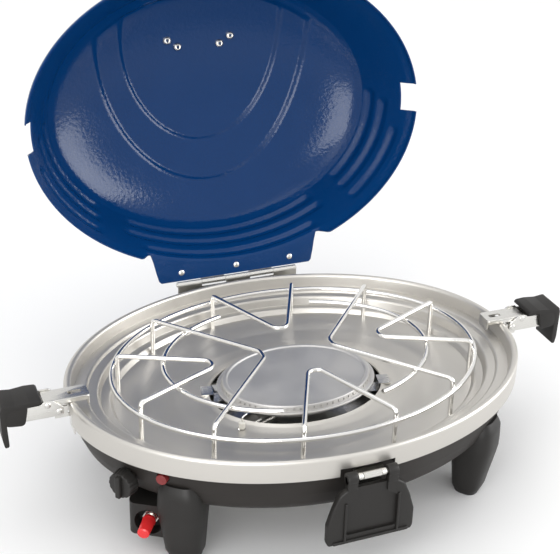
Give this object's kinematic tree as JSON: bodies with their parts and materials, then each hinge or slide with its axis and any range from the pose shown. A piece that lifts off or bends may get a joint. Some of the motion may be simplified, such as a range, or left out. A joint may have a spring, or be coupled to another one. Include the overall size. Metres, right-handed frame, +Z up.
{
  "type": "folding camp grill",
  "caption": "Oval gas camp grill: dark footed base with a bright bowl, burner and lift-off wire pan support, a hinged enamelled lid, side latches and a front flap.",
  "frame": {"origin": "middle of the base on the floor it stands on", "axes": "+X to the right seen from the front latch, -Y towards the front latch, +Y towards the lid hinge, +Z up"},
  "size_m": [0.576, 0.5343, 0.4529],
  "materials": {
    "dark_enamel": "matte dark warm-grey enamel",
    "satin_steel": "satin stainless, slightly warm",
    "chrome_wire": "bright chrome plate",
    "burner_alloy": "cast, light grey, matte",
    "zinc_plate": "bright zinc plate",
    "blue_enamel": "glossy royal-blue enamel",
    "dark_plastic": "fine-grained dark grey moulding",
    "red_plastic": "smooth bright red",
    "dull_red_plastic": "dull red",
    "brass": "turned brass",
    "pad_rubber": "soft black rubber",
    "lead_rubber": "insulated lead",
    "white_ceramic": "white glazed ceramic",
    "plain_steel": "plain zinc-plated steel"
  },
  "bodies": {
    "base": {"base_shell": "dark_enamel", "bottom_plate": "plain_steel", "bottom_screws": "zinc_plate", "bowl": "satin_steel", "foot_front_right": "dark_plastic", "foot_front_left": "dark_plastic", "foot_back_right": "dark_plastic", "foot_back_left": "dark_plastic", "foot_pads": "pad_rubber", "foot_screws": "zinc_plate", "burner_cap": "burner_alloy", "burner_cup": "burner_alloy", "burner_strap": "plain_steel", "burner_tube": "plain_steel", "gas_jet": "brass", "gas_valve": "brass", "gas_housing": "dark_plastic", "gas_nozzle": "zinc_plate", "gas_pipe": "brass", "igniter_body": "dark_plastic", "electrode": "white_ceramic", "spark_lead": "lead_rubber", "hinge_bracket": "dark_enamel", "hinge_base_leaf": "zinc_plate", "hinge_pin": "zinc_plate", "hinge_base_rivets": "zinc_plate", "left_latch_bracket": "zinc_plate", "left_latch_pin": "zinc_plate", "right_latch_bracket": "zinc_plate", "right_latch_pin": "zinc_plate", "front_latch_bracket": "zinc_plate", "front_latch_pin": "zinc_plate", "front_latch_springs": "zinc_plate"},
    "rack": {"rack_fingers": "chrome_wire", "rack_ring": "chrome_wire", "rack_arcs": "chrome_wire"},
    "lid": {"lid_shell": "blue_enamel", "hinge_lid_leaf": "zinc_plate", "hinge_lid_rivets": "zinc_plate", "handle_rivets": "zinc_plate", "handle_feet": "zinc_plate", "handle_grip": "dark_plastic"},
    "left_lever": {"left_latch_lever": "zinc_plate", "left_latch_grip": "dark_plastic", "left_latch_claw_pin": "zinc_plate"},
    "left_claw": {"left_latch_claw": "zinc_plate"},
    "right_lever": {"right_latch_lever": "zinc_plate", "right_latch_grip": "dark_plastic", "right_latch_claw_pin": "zinc_plate"},
    "right_claw": {"right_latch_claw": "zinc_plate"},
    "front_flap": {"front_latch_flap": "dark_plastic"},
    "knob": {"gas_knob": "dark_plastic"},
    "button": {"igniter_button": "dull_red_plastic"},
    "cap": {"dust_cap": "red_plastic"}
  },
  "joints": [
    {"name": "lid_hinge", "type": "hinge", "parent": "base", "child": "lid", "pos_m": [0, 0.176, 0.121], "axis": [1, 0, 0], "range_deg": [0, 100]},
    {"name": "rack_lift", "type": "slide", "parent": "base", "child": "rack", "axis": [0, 0, 1], "range_m": [0, 0.15]},
    {"name": "left_lever_pivot", "type": "hinge", "parent": "base", "child": "left_lever", "pos_m": [-0.235, 0, 0.115], "axis": [0, -1, 0], "range_deg": [0, 80]},
    {"name": "left_claw_pivot", "type": "hinge", "parent": "left_lever", "child": "left_claw", "pos_m": [-0.245, 0, 0.1232], "axis": [0, -1, 0], "range_deg": [0, 60]},
    {"name": "right_lever_pivot", "type": "hinge", "parent": "base", "child": "right_lever", "pos_m": [0.235, 0, 0.115], "axis": [0, 1, 0], "range_deg": [0, 80]},
    {"name": "right_claw_pivot", "type": "hinge", "parent": "right_lever", "child": "right_claw", "pos_m": [0.245, 0, 0.1232], "axis": [0, 1, 0], "range_deg": [0, 60]},
    {"name": "front_flap_pivot", "type": "hinge", "parent": "base", "child": "front_flap", "pos_m": [0, -0.175, 0.103], "axis": [-1, 0, 0], "range_deg": [0, 165], "stiffness_Nm_per_rad": 0.02},
    {"name": "knob_turn", "type": "hinge", "parent": "base", "child": "knob", "pos_m": [-0.18887, -0.07931, 0.078], "axis": [-0.7953, -0.6062, 0], "range_deg": [0, 270]},
    {"name": "igniter_press", "type": "slide", "parent": "base", "child": "button", "axis": [0.6493, 0.7605, 0], "range_m": [0, 0.004], "stiffness_N_per_m": 800, "springref_m": -0.002},
    {"name": "dust_cap_pull", "type": "slide", "parent": "base", "child": "cap", "axis": [-0.5299, -0.848, 0], "range_m": [0, 0.03]}
  ]
}
